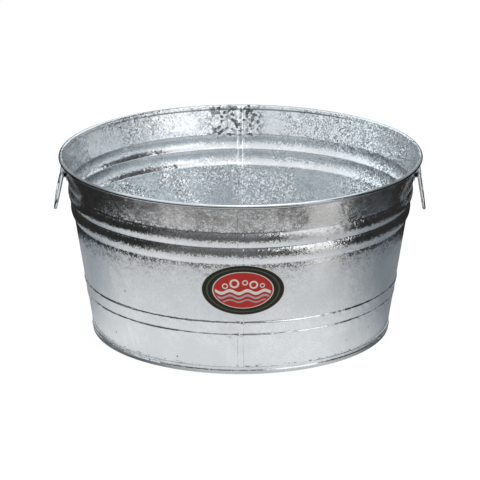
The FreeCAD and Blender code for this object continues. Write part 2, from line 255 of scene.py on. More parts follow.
@dataclass(frozen=True)
class WallForm:
    """Outside of the tapered wall, with its beads, steps, seams and slight waves."""

    base_radius: float = 234.6
    slope: float = 0.15088
    sheet: float = 0.7
    foot: float = 1.1
    band_foot: float = 235.8
    roll_radius: float = 282.85
    roll_height: float = 280.45
    roll_inside: float = 2.45
    roll_turn: float = 310.0
    beads: tuple[tuple[float, float], ...] = ((185.6, 211.8), (211.8, 235.8))
    bead_rise: float = 3.2
    bead_sag: float = 0.07
    dip_foot: float = 177.0
    dip_depth: float = 0.35
    steps: tuple[tuple[float, float], ...] = ((68.5, 1.2), (89.0, 1.4))
    step_drop: float = 2.2
    step_run: float = 16.0
    step_wear_depth: float = 0.8
    softening: float = 0.75
    wave_height: float = 0.13
    wave_count: int = 26
    seam_half: float = 4.4
    seam_gap: float = 0.06
    seam_proud: float = 0.16
    seam_groove: float = 0.1
    seam_foot: float = 12.9
    seam_head: float = 281.0

    @cached_property
    def table(self) -> tuple[np.ndarray, np.ndarray]:
        """Heights and softened outside radii, every quarter millimetre."""
        pitch = 0.25
        z = np.arange(self.foot - 8, self.roll_height + 8, pitch)
        edge = self.base_radius + self.slope * self.band_foot
        head = self.roll_radius - self.roll_inside
        steep = (head - edge) / (self.roll_height - self.band_foot)
        plain = self.base_radius + self.slope * z
        r = np.where(z < self.band_foot, plain, edge + steep * (z - self.band_foot))
        for low, high in self.beads:
            half = (high - low) / 2
            bend = (half * half + self.bead_rise**2) / (2 * self.bead_rise)
            share = np.clip((z - (low + high) / 2) / half, -1, 1)
            away = half * np.abs(share + self.bead_sag * (1 - share * share))
            r += np.sqrt(bend * bend - away * away) - (bend - self.bead_rise)
        low = self.beads[0][0]
        r -= self.dip_depth * smooth_step(z, self.dip_foot, low) * (1 - smooth_step(z, low, low + 5))
        for top, rise in self.steps:
            ledge = top - self.step_drop
            marks = (ledge - self.step_run, ledge, top)
            r += np.interp(z, marks, (0, rise, 0))
        reach = int(4 * self.softening / pitch)
        bell = np.exp(-0.5 * (np.arange(-reach, reach + 1) * pitch / self.softening) ** 2)
        soft = np.convolve(np.pad(r, reach, mode="reflect", reflect_type="odd"), bell / bell.sum(), "valid")
        # The roll's own end of the band keeps its true place.
        return z, np.where(z > self.roll_height - 1, r, soft)

    @cached_property
    def waves(self) -> list[tuple[float, float, float, float]]:
        """Height, turns round the tub, turns per millimetre and phase of each wave."""
        chance = np.random.default_rng(41)
        found = []
        for number in range(self.wave_count):
            around = int(chance.integers(2, 24))
            up = float(chance.uniform(-1, 1)) * math.tau / 110
            height = self.wave_height * 1.6 / math.sqrt(self.wave_count) * 6 / (around + 4)
            found.append((height, around, up, float(chance.uniform(0, math.tau))))
        return found

    def profile(self, height: np.ndarray) -> np.ndarray:
        """Outside radius of a perfect wall at a height."""
        return np.interp(height, *self.table)

    def wave(self, azimuth: np.ndarray, height: np.ndarray) -> np.ndarray:
        """How far the wall stands off its perfect form, faded out at its ends."""
        angle = np.radians(azimuth)
        total = sum(a * np.sin(m * angle + k * height + p) for a, m, k, p in self.waves)
        return total * smooth_step(height, 12, 40) * (1 - smooth_step(height, 252, 274))

    def step_wear(self, azimuth: np.ndarray, height: np.ndarray) -> np.ndarray:
        """How much of each step is rolled away, so that its line breaks up in places."""
        angle = np.radians(azimuth)
        slow = np.sin(5 * angle + 0.4 + 0.05 * height) + np.sin(11 * angle + 2.0 - 0.09 * height)
        quick = np.sin(61 * angle + 0.3 * height) + np.sin(97 * angle + 1.0 + 0.21 * height)
        quick = quick + np.sin(151 * angle)
        share = smooth_step(slow + 0.8 * quick, -0.2, 1.3)
        total = 0.0
        for top, rise in self.steps:
            ledge = top - self.step_drop
            marks = (ledge - self.step_run, ledge - 1.5, top + 1.5)
            total = total + np.interp(height, marks, (0, rise, 0))
        return -self.step_wear_depth * share * total

    def seam_place(self, azimuth: np.ndarray, height: np.ndarray) -> np.ndarray:
        """Millimetres from the middle of the nearer seam, along the wall."""
        away = (np.asarray(azimuth) - FRONT + 90) % 180 - 90
        return np.radians(away) * self.profile(height)

    def seam_relief(self, azimuth: np.ndarray, height: np.ndarray) -> np.ndarray:
        """Outside trace of the folds: a slightly proud strip between two grooves."""
        s = self.seam_place(azimuth, height)
        strip = 1 - smooth_step(np.abs(s), self.seam_half - 0.5, self.seam_half + 0.1)
        joint = np.exp(-(((s + self.seam_half) / 0.55) ** 2))
        bend = np.exp(-(((s - self.seam_half) / 0.6) ** 2)) * 0.6
        relief = self.seam_proud * strip - self.seam_groove * (joint + bend)
        inside = smooth_step(height, 11, 14) * (1 - smooth_step(height, 276, 279))
        return relief * inside

    def outside(self, azimuth: np.ndarray, height: np.ndarray) -> np.ndarray:
        """Radius of the real outer face, waves and seam traces included."""
        worn = self.step_wear(azimuth, height)
        return self.profile(height) + self.wave(azimuth, height) + self.seam_relief(azimuth, height) + worn

    def band(self, height: np.ndarray) -> np.ndarray:
        """Outside of the straight band under the rim."""
        edge = self.base_radius + self.slope * self.band_foot
        head = self.roll_radius - self.roll_inside
        steep = (head - edge) / (self.roll_height - self.band_foot)
        return edge + steep * (height - self.band_foot)

    def heights(self) -> np.ndarray:
        """Heights of the mesh rows, close together where the section bends."""
        zones = (
            (self.foot, 48, 4.5),
            (48, 62, 2.8),
            (62, 71, 0.45),
            (71, 84, 2.2),
            (84, 91, 0.45),
            (91, 170, 5.2),
            (170, 240, 0.9),
            (240, self.roll_height, 2.6),
        )
        rows = [np.arange(low, high - 0.3 * pitch, pitch) for low, high, pitch in zones]
        return np.concatenate(rows + [np.array([self.roll_height])])


# Finishes


class Nodes:
    """Adds nodes to one tree and joins them."""

    def __init__(self, tree: bpy.types.NodeTree) -> None:
        """Empty the tree and keep it."""
        tree.nodes.clear()
        self.tree = tree

    def add(self, kind: str, *values: object, settings: dict | None = None, **named: object) -> Node:
        """Add a node.

        Args:
            kind: node type, without its ShaderNode prefix.
            values: sockets or constants for the first inputs in order; None is left out.
            settings: attributes of the node.
            named: sockets or constants by input name, with _ for a space.

        Returns:
            The node.
        """
        node = self.tree.nodes.new("ShaderNode" + kind)
        for key, value in (settings or {}).items():
            setattr(node, key, value)
        for key, value in list(enumerate(values)) + list(named.items()):
            target = node.inputs[key if isinstance(key, int) else key.replace("_", " ")]
            if isinstance(value, Socket):
                self.tree.links.new(value, target)
            elif value is not None:
                target.default_value = (*value, 1.0) if target.type == "RGBA" else value
        return node

    def math(self, operation: str, *values: object) -> Socket:
        """Result of a Math node."""
        return self.add("Math", *values, settings={"operation": operation}).outputs[0]

    def times(self, *values: object) -> Socket:
        """Product of two or more numbers."""
        product = values[0]
        for value in values[1:]:
            product = self.math("MULTIPLY", product, value)
        return product

    def off(self, value: object, middle: float) -> Socket:
        """How far a number lies from a middle, on either side."""
        return self.math("ABSOLUTE", self.math("SUBTRACT", value, middle))

    def vector(self, operation: str, *values: object) -> Socket:
        """Vector result of a Vector Math node."""
        return self.add("VectorMath", *values, settings={"operation": operation}).outputs[0]

    def measure(self, operation: str, *values: object) -> Socket:
        """Number result of a Vector Math node."""
        return self.add("VectorMath", *values, settings={"operation": operation}).outputs["Value"]

    def scaled(self, vector: Socket, amount: object) -> Socket:
        """A vector times a number."""
        return self.add("VectorMath", vector, settings={"operation": "SCALE"}, Scale=amount).outputs[0]

    def ease(self, value: object, low: float, high: float, first: float = 0.0, last: float = 1.0) -> Socket:
        """Ease from one number to another between two marks."""
        settings = {"interpolation_type": "SMOOTHSTEP"}
        if low > high:
            low, high, first, last = high, low, last, first
        return self.add("MapRange", value, low, high, first, last, settings=settings).outputs[0]

    def mix(self, share: object, first: object, second: object) -> Socket:
        """Mix two colours."""
        node = self.add("Mix", settings={"data_type": "RGBA"})
        for number, value in ((0, share), (6, first), (7, second)):
            if isinstance(value, Socket):
                self.tree.links.new(value, node.inputs[number])
            else:
                node.inputs[number].default_value = (*value, 1.0) if number else value
        return node.outputs[2]

    def noise(self, place: object, scale: float, detail: float = 2.0, rough: float = 0.5) -> Socket:
        """Noise from 0 to 1."""
        return self.add("TexNoise", place, Scale=scale, Detail=detail, Roughness=rough).outputs[0]

    def cells(self, place: object, scale: float) -> Node:
        """Voronoi cells."""
        return self.add("TexVoronoi", place, Scale=scale)

    def bearing(self, x: object, y: object) -> Socket:
        """Azimuth in degrees: 0 over the camera at -Y, growing towards +X."""
        return self.times(self.math("ARCTAN2", x, self.times(y, -1.0)), 180 / math.pi)

    def finish(self, shader: Node, kind: str = "OutputMaterial") -> None:
        """Join a shader to the output."""
        self.add(kind, shader.outputs[0])


def new_material(name: str) -> tuple[Material, Nodes]:
    """Start a material with an empty tree."""
    material = bpy.data.materials.new(name)
    material.use_nodes = True
    return material, Nodes(material.node_tree)


@dataclass
class Spot:
    """A material's tree and the place on the piece that it colours."""

    nodes: Nodes

    @cached_property
    def place(self) -> Socket:
        """Object coordinates."""
        return self.nodes.add("TexCoord").outputs["Object"]

    @cached_property
    def axes(self) -> tuple[Socket, Socket, Socket]:
        """The same, split."""
        return tuple(self.nodes.add("SeparateXYZ", self.place).outputs)

    @cached_property
    def flat(self) -> Socket:
        """The same, without the height."""
        return self.nodes.vector("MULTIPLY", self.place, (1.0, 1.0, 0.0))

    @cached_property
    def normal(self) -> Socket:
        """The mesh's own normal."""
        return self.nodes.add("NewGeometry").outputs["Normal"]

    @cached_property
    def inner(self) -> Socket:
        """1 on the inside of the wall and 0 on its outside."""
        return self.nodes.ease(self.nodes.measure("DOT_PRODUCT", self.normal, self.flat), 0.0, -0.05)


@dataclass(frozen=True)
class ZincFinish:
    """Hot-dip zinc: soft metal with spangle, blotches, runs, pits and scuffs, with some painted shade, painted
    light and painted reflections.
    """

    name: str
    tint: Colour = (0.80, 0.82, 0.835)
    shade: float = 0.86
    gloss_low: float = 0.15
    gloss_high: float = 0.27
    grain: float = 0.10
    spangle: float = 0.045
    spangle_size: float = 95.0
    grains_per_crystal: float = 5.4
    coarse_back: float = 0.0
    ripple: float = 0.5
    pits: float = 0.0
    wall: bool = False
    # Painted reflection: near-black colour of the chosen large flakes.
    flake_painted_dark: Colour = (0.07, 0.075, 0.08)
    # Painted shade: colour of the darkened rim and of the painted shadow line under it.
    rim_shade_colour: Colour = (0.10, 0.105, 0.11)
    # Painted light: colour that lightens the inside towards its two ends.
    inner_painted_light: Colour = (0.94, 0.98, 1.0)
    # Painted reflection: colour of the darkened patch low on the inside back.
    low_back_painted_dark: Colour = (0.47, 0.49, 0.51)
    pit_dark: Colour = (0.06, 0.06, 0.065)
    # Partly grime, partly painted shade: colour of the dark line along the hem.
    hem_grime_and_shade: Colour = (0.12, 0.12, 0.13)
    line_dark: Colour = (0.2, 0.2, 0.21)
    dull_run_roughness: float = 0.16
    pit_roughness: float = 0.3

    def make(self) -> Material:
        """Build the material."""
        material, nodes = new_material(self.name)
        spot = Spot(nodes)
        blotch = nodes.noise(spot.place, 11.0, 4.0, 0.6)
        cloud = nodes.noise(spot.place, 48.0, 5.0, 0.65)
        colour = self.blotched(spot, blotch, cloud)
        clouded = nodes.math("ADD", nodes.times(blotch, 0.6), nodes.times(cloud, 0.4))
        rough = nodes.ease(clouded, 0.32, 0.68, self.gloss_low, self.gloss_high)
        if self.pits:
            colour, rough = self.add_pits(spot, colour, rough)
        if self.wall:
            colour = self.add_wall_marks(spot, colour)
            rough = nodes.math("ADD", rough, nodes.times(self.dull_run(spot), self.dull_run_roughness))
        flakes = share = None
        if self.coarse_back:
            flakes, share = self.back_flakes(spot)
            # Painted dark reflection: chosen large flakes beside the back seam are painted near black, on top
            # of their tilted facets.
            luck, depth, _ = nodes.add("SeparateXYZ", flakes).outputs
            chosen = nodes.times(nodes.ease(luck, 0.42, 0.34), nodes.ease(depth, 0.0, 0.6, 0.45, 0.9))
            colour = nodes.mix(nodes.times(chosen, share), colour, self.flake_painted_dark)
        normal = self.facets(spot, flakes, share)
        fine = nodes.noise(spot.place, 420.0, 2.0, 0.6)
        height = nodes.math("ADD", nodes.times(fine, 0.12), nodes.noise(spot.place, 75.0, 2.0, 0.5))
        bump = nodes.add("Bump", Strength=self.ripple, Distance=0.0009, Height=height, Normal=normal)
        nodes.finish(nodes.add("BsdfPrincipled", colour, 1.0, rough, Normal=bump.outputs[0]))
        return material

    def toned(self, amount: float) -> Colour:
        """The tint made lighter or darker."""
        return tuple(min(1.0, c * amount) for c in self.tint)

    def blotched(self, spot: Spot, blotch: Socket, cloud: Socket) -> Socket:
        """Colour of the zinc with its blotches, clouds, flecks and runs."""
        nodes = spot.nodes
        flecks = nodes.noise(spot.place, 330.0, 3.0, 0.7)
        run = nodes.noise(nodes.vector("MULTIPLY", spot.place, (1.0, 1.0, 0.16)), 60.0, 3.0, 0.6)
        colour = nodes.mix(nodes.ease(blotch, 0.36, 0.66), self.toned(self.shade), self.tint)
        colour = nodes.mix(nodes.ease(cloud, 0.35, 0.72, 0.0, 0.45), colour, self.toned(0.9))
        colour = nodes.mix(nodes.ease(flecks, 0.42, 0.7, 0.0, 0.5), colour, self.toned(0.8))
        return nodes.mix(nodes.ease(run, 0.55, 0.75, 0.0, 0.3), colour, self.toned(1.1))

    @staticmethod
    def dull_run(spot: Spot) -> Socket:
        """1 on the dull length of the upper bead, right of the front seam."""
        nodes = spot.nodes
        x, y, z = spot.axes
        bead = nodes.ease(nodes.off(z, 0.2255), 0.0135, 0.0115)
        length = nodes.times(nodes.ease(x, 0.05, 0.085), nodes.ease(x, 0.172, 0.155))
        return nodes.times(bead, length, nodes.ease(y, 0.0, -0.05))

    @staticmethod
    def back_flakes(spot: Spot) -> tuple[Socket, Socket]:
        """Large flakes of zinc inside, beside the back seam and under the rim.

        Args:
            spot: the place being coloured.

        Returns:
            A random colour for each flake, and how far the flakes show.
        """
        nodes = spot.nodes
        x, y, z = spot.axes
        bent = nodes.add("TexNoise", spot.place, Scale=120.0, Detail=2.0).outputs[1]
        moved = nodes.vector("ADD", spot.place, nodes.scaled(bent, 0.0012))
        near = nodes.ease(nodes.off(x, -0.008), 0.056, 0.030)
        high = nodes.times(nodes.ease(z, 0.226, 0.238), nodes.ease(y, 0.1, 0.15))
        return nodes.cells(moved, 215.0).outputs["Color"], nodes.times(near, high, spot.inner)

    @staticmethod
    def seam_ridges(spot: Spot) -> Socket:
        """Upward lean of the two rounded ridges along the back seam, inside."""
        nodes = spot.nodes
        x, y, z = spot.axes
        away = nodes.off(nodes.math("ABSOLUTE", x), 0.0042)
        ridge = nodes.times(nodes.ease(away, 0.0024, 0.0012), nodes.ease(y, 0.1, 0.15), spot.inner)
        rise = nodes.times(nodes.ease(z, 0.176, 0.19, 0.25, 1.0), 0.36)
        return nodes.add("CombineXYZ", Z=nodes.times(ridge, rise)).outputs[0]

    @staticmethod
    def leaning(nodes: Nodes, chance: Socket, amount: object) -> Socket:
        """A small lean to any side, from a random colour."""
        return nodes.scaled(nodes.vector("SUBTRACT", chance, (0.5, 0.5, 0.5)), amount)

    def facets(self, spot: Spot, flakes: Socket | None, share: Socket | None) -> Socket:
        """Tilt each crystal of zinc by its own small angle.

        Args:
            spot: the place being coloured.
            flakes: random colours of the large flakes.
            share: how far the large flakes show.

        Returns:
            The tilted normal.
        """
        nodes = spot.nodes
        x, _, z = spot.axes
        crystals = nodes.cells(spot.place, self.spangle_size).outputs["Color"]
        grains = nodes.cells(spot.place, self.spangle_size * self.grains_per_crystal).outputs["Color"]
        tilt = self.leaning(nodes, crystals, self.spangle)
        fine = self.leaning(nodes, grains, self.grain)
        if self.wall:
            patchy = nodes.ease(nodes.noise(spot.place, 16.0, 2.0), 0.42, 0.6, 1.0, 3.2)
            coarse = nodes.math("MAXIMUM", nodes.ease(z, 0.188, 0.176), nodes.ease(x, 0.05, 0.12))
            patchy = nodes.times(patchy, nodes.math("ADD", 1.0, nodes.times(coarse, 1.1)))
            beads = nodes.ease(nodes.off(z, 0.2085), 0.034, 0.028, 0.6, 1.9)
            fine = nodes.vector("MULTIPLY", fine, nodes.mix(spot.inner, beads, patchy))
            calm = nodes.math("MAXIMUM", nodes.ease(z, 0.172, 0.182, 0.45, 1.0), spot.inner)
            tilt = nodes.vector("ADD", nodes.scaled(tilt, calm), self.seam_ridges(spot))
        total = nodes.vector("ADD", tilt, fine)
        if flakes:
            flaked = self.leaning(nodes, flakes, nodes.times(share, self.coarse_back))
            total = nodes.vector("ADD", total, flaked)
        return nodes.vector("NORMALIZE", nodes.vector("ADD", spot.normal, total))

    @staticmethod
    def rim_painted_shade(spot: Spot, across: Socket, front: Socket) -> Socket:
        """Painted shade on the rolled rim, area by area, and a painted shadow line under it.

        Args:
            spot: the place being coloured.
            across: distance from the plane of the seams.
            front: 1 on the front half and 0 on the back half.

        Returns:
            Share of the dark colour.
        """
        nodes = spot.nodes
        x, _, z = spot.axes
        radius = nodes.measure("LENGTH", spot.flat)
        side = nodes.times(front, nodes.ease(across, 0.165, 0.215))
        back = nodes.math("SUBTRACT", 1.0, front)
        marks = (
            (side, 0.2796, 0.2818, 0.86),
            (nodes.math("SUBTRACT", front, side), 0.2846, 0.2858, 0.5),
            (back, 0.2800, 0.2814, 0.42),
            (back, 0.2824, 0.2837, 0.35),
            (nodes.times(back, nodes.ease(x, -0.07, -0.14)), 0.2812, 0.2828, 0.62),
        )
        amount: object = 0.0
        for share, first, last, most in marks:
            part = nodes.times(share, nodes.ease(radius, first, last, 0.0, most))
            amount = nodes.math("ADD", amount, part)
        # Painted shade: the roll's front sides, the front's outermost edge and its back are darkened where
        # they mirror dark parts of the room.
        outer = nodes.times(amount, nodes.ease(z, 0.2735, 0.2765))
        # Painted shadow: a dark line just under the roll.
        under = nodes.ease(nodes.off(z, 0.2768), 0.0020, 0.0006, 0.0, 0.8)
        return nodes.math("MAXIMUM", outer, under)

    def add_wall_marks(self, spot: Spot, colour: Socket) -> Socket:
        """Paint shade on the rim, paint light on the inside's ends, paint a dark reflection low on the inside
        back and draw the front seam's joints.

        Args:
            spot: the place being coloured.
            colour: colour so far.

        Returns:
            The colour.
        """
        nodes = spot.nodes
        x, y, z = spot.axes
        across = nodes.math("ABSOLUTE", x)
        front = nodes.ease(y, 0.02, -0.04)
        # Painted shade on the rolled rim and a painted shadow line under it.
        colour = nodes.mix(self.rim_painted_shade(spot, across, front), colour, self.rim_shade_colour)
        # Painted light: the inside is lightened towards its two ends, in place of light bounced round the
        # inside.
        bright = nodes.times(spot.inner, nodes.ease(across, 0.14, 0.225, 0.0, 0.75))
        colour = nodes.mix(bright, colour, self.inner_painted_light)
        # Painted dark reflection: the inside back, left of the back seam and below the beads, is darkened.
        left_of_seam = nodes.times(nodes.ease(x, -0.085, -0.045), nodes.ease(x, 0.002, -0.006))
        low_back = nodes.times(nodes.ease(z, 0.187, 0.178), nodes.ease(y, 0.05, 0.1))
        colour = nodes.mix(nodes.times(left_of_seam, low_back, spot.inner, 0.5), colour, self.low_back_painted_dark)
        line = nodes.times(nodes.ease(nodes.off(across, 0.0044), 0.0010, 0.0003), nodes.ease(z, 0.277, 0.274))
        broken = nodes.ease(nodes.noise(spot.place, 70.0, 3.0), 0.38, 0.6, 0.05, 0.32)
        return nodes.mix(nodes.times(line, broken, front), colour, self.line_dark)

    def add_pits(self, spot: Spot, colour: Socket, rough: Socket) -> tuple[Socket, Socket]:
        """Dark specks where the zinc missed, thicker near the floor, thin scuffs, and a dark streaky line
        along the hem's top edge, partly grime and partly painted shade.

        Args:
            spot: the place being coloured.
            colour: colour so far.
            rough: roughness so far.

        Returns:
            The colour and the roughness.
        """
        nodes, place = spot.nodes, spot.place
        z = spot.axes[2]
        dots = nodes.cells(place, 62.0)
        luck = nodes.add("SeparateXYZ", dots.outputs["Color"]).outputs[0]
        chosen = nodes.math("LESS_THAN", luck, nodes.ease(z, 0.075, 0.005, 0.10, 0.42))
        core = nodes.ease(dots.outputs["Distance"], 0.105, 0.065)
        dark = nodes.times(chosen, core, self.pits)
        colour = nodes.mix(dark, colour, self.pit_dark)
        # Grime with painted shade: a dark streaky line in the crease along the hem's top edge.
        streaks = nodes.noise(nodes.vector("MULTIPLY", place, (1.0, 1.0, 3.0)), 130.0, 3.0)
        hem = nodes.ease(nodes.off(z, 0.0135), 0.0025, 0.0005)
        colour = nodes.mix(nodes.times(nodes.ease(streaks, 0.55, 0.64), hem, 0.8), colour, self.hem_grime_and_shade)
        settings = {"rotation_type": "EULER_XYZ"}
        turned = nodes.add("VectorRotate", place, settings=settings, Rotation=(0.3, 0.9, 0.2)).outputs[0]
        hair = nodes.noise(nodes.vector("MULTIPLY", turned, (900.0, 18.0, 18.0)), 1.0, 1.0)
        where = nodes.ease(nodes.noise(place, 14.0), 0.5, 0.62, 0.0, 0.5)
        colour = nodes.mix(nodes.times(nodes.ease(hair, 0.76, 0.8), where), colour, self.line_dark)
        return colour, nodes.math("ADD", rough, nodes.times(dark, self.pit_roughness))


@dataclass(frozen=True)
class LabelPrint:
    """Gloss print on the oval label: dark border, green ring, red field, bubbles over waves."""

    centre: tuple[float, float] = (3.6, 141.9)
    half: tuple[float, float] = (62.8, 41.4)
    black: Colour = (0.012, 0.013, 0.012)
    green: Colour = (0.06, 0.10, 0.045)
    red: Colour = (0.50, 0.028, 0.022)
    pale: Colour = (0.80, 0.78, 0.72)
    grey: Colour = (0.42, 0.44, 0.45)
    worn: Colour = (0.10, 0.04, 0.035)
    soft: float = 0.012
    ink_edge: float = 0.35
    wave_length: float = 26.0
    waves: tuple[tuple[float, float, float], ...] = ((-3.0, 2.4, 2.6), (-11.0, 2.4, 1.7), (-18.0, 2.0, 1.0))
    bubbles: tuple[tuple[float, float, float], ...] = (
        (-27.0, 6.5, 4.6),
        (-13.0, 11.0, 7.4),
        (3.0, 12.5, 4.4),
        (16.0, 9.0, 6.6),
        (29.0, 7.5, 3.8),
    )

    def make(self) -> Material:
        """Build the material."""
        material, nodes = new_material("gloss_label_print")
        middle = (-self.centre[0] * MM, 0.0, -self.centre[1] * MM)
        flat = nodes.vector("MULTIPLY", nodes.vector("ADD", Spot(nodes).place, middle), (1000.0, 0.0, 1000.0))
        share = nodes.vector("MULTIPLY", flat, (1 / self.half[0], 0.0, 1 / self.half[1]))
        ring = nodes.measure("LENGTH", share)
        colour = self.motif(nodes, flat, ring, self.rings(nodes, ring))
        wear = nodes.ease(nodes.noise(flat, 0.55, 4.0, 0.7), 0.3, 0.75, 0.0, 0.22)
        colour = nodes.mix(wear, colour, self.worn)
        rough = nodes.ease(nodes.noise(flat, 0.2, 3.0), 0.3, 0.7, 0.34, 0.5)
        bump = nodes.add("Bump", Strength=0.25, Distance=0.0002, Height=nodes.noise(flat, 0.3, 2.0)).outputs[0]
        nodes.finish(nodes.add("BsdfPrincipled", colour, 0.0, rough, Normal=bump, Specular_IOR_Level=0.22))
        return material

    def rings(self, nodes: Nodes, ring: Socket) -> Socket:
        """Dark border with a green ring and pale edges, round a red field."""
        soft = self.soft
        outwards = nodes.ease(ring, 0.845 - soft, 0.845 + soft)
        inwards = nodes.ease(ring, 0.885 + soft, 0.885 - soft)
        colour = nodes.mix(nodes.times(outwards, inwards), self.black, self.green)
        colour = nodes.mix(nodes.ease(ring, 0.985 - soft, 0.985 + soft), colour, self.pale)
        colour = nodes.mix(nodes.ease(ring, 0.735 + soft, 0.735 - soft), colour, self.pale)
        return nodes.mix(nodes.ease(ring, 0.712 + soft, 0.712 - soft), colour, self.red)

    def motif(self, nodes: Nodes, flat: Socket, ring: Socket, colour: Socket) -> Socket:
        """Bubbles over waves.

        Args:
            nodes: the tree being made.
            flat: millimetres from the label's middle.
            ring: 0 at the label's middle and 1 at its edge.
            colour: colour so far.

        Returns:
            The colour.
        """
        across, _, up = nodes.add("SeparateXYZ", flat).outputs
        inside = nodes.ease(ring, 0.67 + self.soft, 0.67 - self.soft)
        edge = self.ink_edge
        for height, swell, thick in self.waves:
            crest = nodes.times(nodes.math("SINE", nodes.times(across, math.tau / self.wave_length)), swell)
            away = nodes.math("ABSOLUTE", nodes.math("SUBTRACT", nodes.math("SUBTRACT", up, height), crest))
            band = nodes.times(nodes.ease(away, thick + edge, thick - edge), inside)
            colour = nodes.mix(band, colour, self.pale if thick > 2 else self.grey)
        for x, z, size in self.bubbles:
            away = nodes.measure("DISTANCE", flat, (x, 0.0, z))
            colour = nodes.mix(nodes.ease(away, size + edge, size - edge), colour, self.pale)
            colour = nodes.mix(nodes.ease(away, size * 0.62 + 0.2, size * 0.62 - 0.2), colour, self.red)
        return colour


# The pieces


class Piece:
    """Helps a sub-assembly dress its pieces, hide the nodes they stand for and hang them on their bodies."""

    @staticmethod
    def settle(piece: bpy.types.Object, body: str, node: str, slot: Slot, finish: Material) -> None:
        """Dress a piece, let it stand for its node and ride on its body.

        Args:
            piece: the new mesh object.
            body: body that carries it.
            node: node that it stands for.
            slot: slot of the record; not used.
            finish: its material.
        """
        piece.data.materials.append(finish)
        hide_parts(node)
        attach(piece, body)
        log.info("%s: %d faces on %s", piece.name, len(piece.data.polygons), body)


@dataclass
class WallSheets(Piece):
    """The two half walls, hooked together at the side seams."""

    form: WallForm
    column_pitch: float = 0.9
    seam_columns: float = 0.4
    seam_reach: float = 7.6
    roll_points: int = 34
    pitch: float = 0.76
    fold_root: float = 0.45
    finish: ZincFinish = ZincFinish("zinc_wall", coarse_back=0.3, pits=0.85, wall=True)

    def columns(self) -> np.ndarray:
        """Azimuths of the skin's columns, close together at the seams."""
        radius = self.form.profile(np.array(140.0))
        half = math.degrees(self.form.seam_half / radius)
        gap = math.degrees(self.form.seam_gap / radius)
        reach = math.degrees(self.seam_reach / radius)
        fine = math.degrees(self.seam_columns / radius)
        start, stop = FRONT - half, BACK - half - gap
        near = np.arange(start, start + half + reach, fine)
        far = np.arange(BACK - reach, stop, fine)
        middle = np.arange(near[-1] + self.column_pitch, far[0] - 0.3, self.column_pitch)
        return np.concatenate([near, middle, far, [stop]])

    def section(self, azimuth: float) -> np.ndarray:
        """Closed section of the skin at one azimuth, outer path then inner path back."""
        form = self.form
        z = form.heights()
        outer = form.outside(np.full_like(z, azimuth), z)
        plain = form.profile(z) + form.wave(np.full_like(z, azimuth), z)
        turn = np.radians(np.linspace(0, form.roll_turn, self.roll_points))[1:]
        around = math.radians(azimuth)
        worn = 0.12 + 0.05 * math.sin(around * 7) + 0.03 * math.sin(around * 19)
        sides = []
        skin = form.roll_inside + form.sheet - 0.02
        for wall, radius in ((outer, form.roll_inside), (plain - form.sheet, skin)):
            across = form.roll_radius - radius * np.cos(turn) - worn * np.sin(turn / 2) ** 2
            up = form.roll_height + radius * np.sin(turn)
            sides.append(np.stack([np.concatenate([wall, across]), np.concatenate([z, up])], -1))
        return np.concatenate([sides[0], sides[1][::-1]])

    def add_skin(self, shell: Shell, facing: float) -> None:
        """Add the half wall with its rolled rim."""
        loops = []
        for azimuth in self.columns() + facing:
            radius, height = self.section(azimuth).T
            loops.append(on_circle(np.full(len(radius), azimuth), radius, height))
        loops = np.array(loops)
        shell.add(loops, ladder(loops, ring=False))

    def add_fold(self, shell: Shell, seam: float, path: list[tuple[float, float]]) -> None:
        """Add one folded strip of a seam.

        Args:
            shell: the half wall that the strip belongs to.
            seam: azimuth of the seam.
            path: middle of the sheet as millimetres along the wall and in from its face.
        """
        form = self.form
        z = form.heights()
        z = np.concatenate([[form.seam_foot], z[(z > 14) & (z < 276)], [277.5, 279.5, form.seam_head]])
        loop = thicken(round_corners(path, 1.0), form.sheet / 2)
        loops = []
        for height in z:
            radius = float(form.profile(height))
            azimuth = seam + np.degrees(loop[:, 0] / radius)
            flat = 1 - 0.75 * smooth_step(np.array(height), 272, form.seam_head)
            flat = flat * (0.45 + 0.55 * smooth_step(np.array(height), form.seam_foot, 18.0))
            level = np.full(len(loop), height)
            face = form.profile(level) + form.wave(azimuth, level)
            loops.append(on_circle(azimuth, face - loop[:, 1] * flat, level))
        loops = np.array(loops)
        shell.add(loops, ladder(loops, ring=False))

    def build(self) -> None:
        """Make both half walls and dress them."""
        material = self.finish.make()
        half = self.form.sheet / 2
        edge = self.form.seam_half
        gap = self.form.seam_gap
        first, second, third = (half + layer * self.pitch for layer in (1, 2, 3))
        lip = -edge - gap - half - 0.02
        hook = [(-edge + half, self.fold_root), (-edge + half, second), (edge - self.pitch, second)]
        cover = [(lip, self.fold_root), (lip, third), (edge - half, third), (edge - half, first)]
        cover += [(-edge + self.pitch, first)]
        for word, facing in (("right", 0.0), ("left", 180.0)):
            shell = Shell()
            self.add_skin(shell, facing)
            self.add_fold(shell, FRONT + facing, hook)
            self.add_fold(shell, BACK + facing, cover)
            piece = shell.build(word + "_wall")
            self.settle(piece, "tub", word + "_wall_sheet", Slot.SHEET, material)


